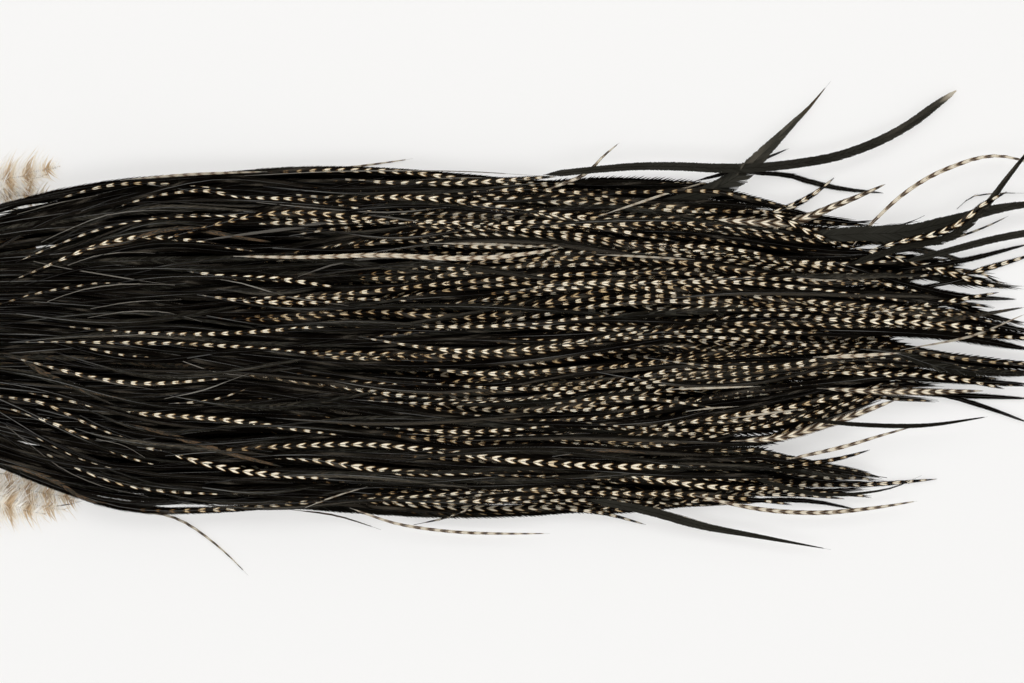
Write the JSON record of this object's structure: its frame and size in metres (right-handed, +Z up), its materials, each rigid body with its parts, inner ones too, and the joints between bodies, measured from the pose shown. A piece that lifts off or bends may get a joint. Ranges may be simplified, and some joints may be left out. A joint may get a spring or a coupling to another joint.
{
  "type": "rooster saddle hackle",
  "caption": "Dried patch of bird skin with long, narrow black and cream-barred feathers combed one way, lying flat, for fly tying or craft.",
  "frame": {"origin": "middle of the footprint, on the surface that the hackle lies on", "axes": "+X from the neck end of the skin to the feathers' tips, +Z up, away from the surface"},
  "size_m": [0.3728, 0.1394, 0.0132],
  "materials": {
    "feather": "satin",
    "down": "matte",
    "skin": "satin"
  },
  "bodies": {
    "root": {"skin_patch": "skin", "right_flank_down": "down", "left_flank_down": "down", "under_lock_01": "feather", "under_lock_02": "feather", "under_lock_03": "feather", "under_lock_04": "feather", "under_lock_05": "feather", "under_lock_06": "feather", "under_lock_07": "feather", "under_lock_08": "feather", "under_lock_09": "feather", "under_lock_10": "feather", "middle_lock_01": "feather", "middle_lock_02": "feather", "middle_lock_03": "feather", "middle_lock_04": "feather", "middle_lock_05": "feather", "middle_lock_06": "feather", "middle_lock_07": "feather", "middle_lock_08": "feather", "middle_lock_09": "feather", "middle_lock_10": "feather", "middle_lock_11": "feather", "middle_lock_12": "feather", "middle_lock_13": "feather", "top_lock_01": "feather", "top_lock_02": "feather", "top_lock_03": "feather", "top_lock_04": "feather", "top_lock_05": "feather", "top_lock_06": "feather", "top_lock_07": "feather", "top_lock_08": "feather", "top_lock_09": "feather", "top_lock_10": "feather", "top_lock_11": "feather", "top_lock_12": "feather", "top_lock_13": "feather", "top_lock_14": "feather", "top_lock_15": "feather", "top_lock_16": "feather", "top_lock_17": "feather", "long_black_feather": "feather", "broad_black_feather": "feather", "short_barred_feather": "feather", "arched_barred_feather": "feather", "sweeping_black_feather": "feather", "raised_barred_feather": "feather", "right_black_feather": "feather", "lower_black_feather": "feather", "lower_barred_feather": "feather", "lower_curved_feather": "feather", "fine_lower_feather": "feather", "thin_black_feather": "feather", "trailing_barred_feather": "feather", "hanging_wisp": "feather", "upper_wisp": "feather", "short_upper_feather": "feather"}
  },
  "joints": []
}
